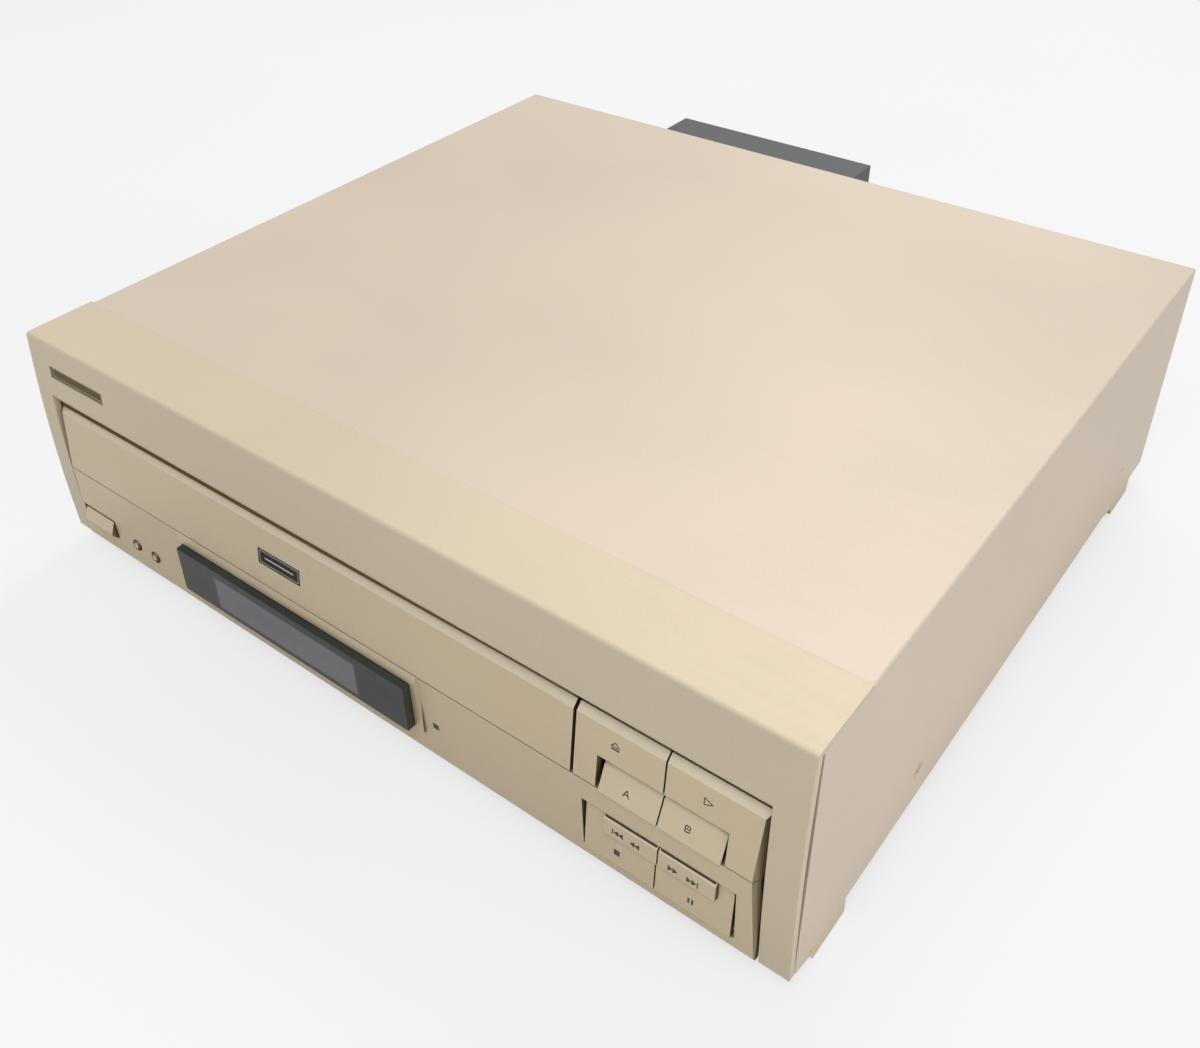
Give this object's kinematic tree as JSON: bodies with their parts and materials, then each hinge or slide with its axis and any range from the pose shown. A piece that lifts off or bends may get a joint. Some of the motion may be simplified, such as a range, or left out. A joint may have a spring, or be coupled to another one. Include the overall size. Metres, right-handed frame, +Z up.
{
  "type": "laserdisc player",
  "caption": "Full-width laserdisc player with a sliding disc tray, key panel, smoked display window, steel cover and rear bulge over a disc drive mechanism.",
  "frame": {"origin": "centre of the whole outline, on the surface under the feet", "axes": "+X to the right seen from the front, +Y to the rear, +Z up"},
  "size_m": [0.42, 0.4467, 0.129],
  "materials": {
    "champagne": "satin",
    "cover_paint": "satin",
    "steel": "satin",
    "dark_plastic": "matte",
    "smoked": "gloss",
    "gold_plastic": "satin",
    "black_plastic": "matte",
    "white_plastic": "satin",
    "rubber": "matte",
    "board": "satin",
    "chip": "matte",
    "can": "satin",
    "iron": "matte",
    "copper_tape": "satin",
    "lens": "clear",
    "ribbon": "satin"
  },
  "bodies": {
    "case": {"badge_plate": "gold_plastic", "board_brackets": "steel", "board_capacitors": "can", "board_chips": "chip", "bottom_chassis": "steel", "clamp_bridge": "steel", "control_panel": "gold_plastic", "cover_screws": "steel", "display_board": "board", "display_ribbon": "ribbon", "display_tube": "smoked", "display_window": "smoked", "front_feet": "gold_plastic", "front_panel": "champagne", "gear_shafts": "steel", "guide_rods": "steel", "loading_belt": "rubber", "loading_motor": "steel", "main_board": "board", "mains_inlet": "black_plastic", "mechanism_base": "steel", "mechanism_dampers": "rubber", "power_transformer": "iron", "rear_bulge_cover": "dark_plastic", "rear_feet": "gold_plastic", "rear_panel": "steel", "rear_screws": "steel", "rear_sockets": "black_plastic", "rod_brackets": "steel", "sled_motor": "steel", "spindle_motor": "steel", "switch_boards": "board", "top_cover": "cover_paint", "transformer_coil": "copper_tape", "tray_guides": "black_plastic", "turn_over_guide": "steel"},
    "tray": {"tray_door": "gold_plastic", "door_emblem": "dark_plastic", "disc_tray": "black_plastic"},
    "drive_gear": {"tray_drive_gear": "white_plastic"},
    "pulley": {"pulley_gear": "white_plastic"},
    "motor_pulley": {"motor_pulley": "white_plastic"},
    "turntable": {"turntable": "steel", "turntable_pad": "rubber"},
    "clamp_arm": {"clamp_arm": "steel"},
    "clamper": {"disc_clamper": "black_plastic"},
    "pickup": {"pickup_carriage": "black_plastic", "objective_lens": "lens"},
    "sled_gear": {"sled_gear": "white_plastic"},
    "power_button": {"power_button": "gold_plastic"},
    "round_button_left": {"round_button_left": "gold_plastic"},
    "round_button_right": {"round_button_right": "gold_plastic"},
    "eject_button": {"eject_button": "gold_plastic"},
    "play_button": {"play_button": "gold_plastic"},
    "side_a_key": {"side_a_key": "gold_plastic"},
    "side_b_key": {"side_b_key": "gold_plastic"},
    "skip_back_key": {"skip_back_key": "gold_plastic"},
    "skip_forward_key": {"skip_forward_key": "gold_plastic"},
    "stop_key": {"stop_key": "gold_plastic"},
    "pause_key": {"pause_key": "gold_plastic"}
  },
  "joints": [
    {"name": "tray_slide", "type": "slide", "parent": "case", "child": "tray", "axis": [0, -1, 0], "range_m": [0, 0.318]},
    {"name": "drive_gear_turn", "type": "hinge", "parent": "case", "child": "drive_gear", "pos_m": [-0.16, -0.17865, 0.056], "axis": [0, 0, 1], "range_deg": [-2, 1016.2]},
    {"name": "pulley_turn", "type": "hinge", "parent": "case", "child": "pulley", "pos_m": [-0.133, -0.17865, 0.05], "axis": [0, 0, 1], "range_deg": [-2028.5, 2]},
    {"name": "motor_pulley_turn", "type": "hinge", "parent": "case", "child": "motor_pulley", "pos_m": [-0.088, -0.17865, 0.046], "axis": [0, 0, 1], "range_deg": [-8607.9, 2]},
    {"name": "turntable_spin", "type": "hinge", "parent": "case", "child": "turntable", "pos_m": [-0.04, -0.05365, 0.075], "axis": [0, 0, 1], "continuous": true},
    {"name": "clamp_lift", "type": "hinge", "parent": "case", "child": "clamp_arm", "pos_m": [-0.04, 0.04335, 0.093], "axis": [-1, 0, 0], "range_deg": [0, 4]},
    {"name": "clamper_spin", "type": "hinge", "parent": "clamp_arm", "child": "clamper", "pos_m": [-0.04, -0.05365, 0.075], "axis": [0, 0, 1], "continuous": true},
    {"name": "pickup_slide", "type": "slide", "parent": "case", "child": "pickup", "axis": [0, 1, 0], "range_m": [0, 0.098]},
    {"name": "sled_gear_turn", "type": "hinge", "parent": "case", "child": "sled_gear", "pos_m": [-0.002, 0.09135, 0.057], "axis": [0, 0, 1], "range_deg": [-566, 2]},
    {"name": "power_press", "type": "slide", "parent": "case", "child": "power_button", "axis": [0, 1, 0], "range_m": [0, 0.0008], "stiffness_N_per_m": 400, "springref_m": -0.0004},
    {"name": "round_left_press", "type": "slide", "parent": "case", "child": "round_button_left", "axis": [0, 1, 0], "range_m": [0, 0.0008], "stiffness_N_per_m": 400, "springref_m": -0.0004},
    {"name": "round_right_press", "type": "slide", "parent": "case", "child": "round_button_right", "axis": [0, 1, 0], "range_m": [0, 0.0008], "stiffness_N_per_m": 400, "springref_m": -0.0004},
    {"name": "eject_press", "type": "slide", "parent": "case", "child": "eject_button", "axis": [0, 1, 0], "range_m": [0, 0.0008], "stiffness_N_per_m": 400, "springref_m": -0.0004},
    {"name": "play_press", "type": "slide", "parent": "case", "child": "play_button", "axis": [0, 1, 0], "range_m": [0, 0.0008], "stiffness_N_per_m": 400, "springref_m": -0.0004},
    {"name": "side_a_key_tilt", "type": "hinge", "parent": "case", "child": "side_a_key", "pos_m": [0.14205, -0.22014, 0.0556], "axis": [-1, 0, 0], "range_deg": [0, 2.5], "stiffness_Nm_per_rad": 0.15, "springref_deg": -1.15},
    {"name": "side_b_key_tilt", "type": "hinge", "parent": "case", "child": "side_b_key", "pos_m": [0.1687, -0.22014, 0.0556], "axis": [-1, 0, 0], "range_deg": [0, 2.5], "stiffness_Nm_per_rad": 0.15, "springref_deg": -1.15},
    {"name": "skip_back_key_tilt", "type": "hinge", "parent": "case", "child": "skip_back_key", "pos_m": [0.1432, -0.21816, 0.0325], "axis": [-1, 0, 0], "range_deg": [0, 2.5], "stiffness_Nm_per_rad": 0.15, "springref_deg": -1.15},
    {"name": "skip_forward_key_tilt", "type": "hinge", "parent": "case", "child": "skip_forward_key", "pos_m": [0.1679, -0.21816, 0.0325], "axis": [-1, 0, 0], "range_deg": [0, 2.5], "stiffness_Nm_per_rad": 0.15, "springref_deg": -1.15},
    {"name": "stop_key_tilt", "type": "hinge", "parent": "case", "child": "stop_key", "pos_m": [0.1381, -0.21704, 0.0164], "axis": [-1, 0, 0], "range_deg": [0, 2.5], "stiffness_Nm_per_rad": 0.15, "springref_deg": -1.15},
    {"name": "pause_key_tilt", "type": "hinge", "parent": "case", "child": "pause_key", "pos_m": [0.1707, -0.21704, 0.0164], "axis": [-1, 0, 0], "range_deg": [0, 2.5], "stiffness_Nm_per_rad": 0.15, "springref_deg": -1.15}
  ],
  "couplings": [
    {"joint": "drive_gear_turn", "follows": "tray_slide", "rad_per_m": 55.556},
    {"joint": "pulley_turn", "follows": "tray_slide", "rad_per_m": -111.11},
    {"joint": "motor_pulley_turn", "follows": "tray_slide", "rad_per_m": -472.22},
    {"joint": "sled_gear_turn", "follows": "pickup_slide", "rad_per_m": -100}
  ]
}
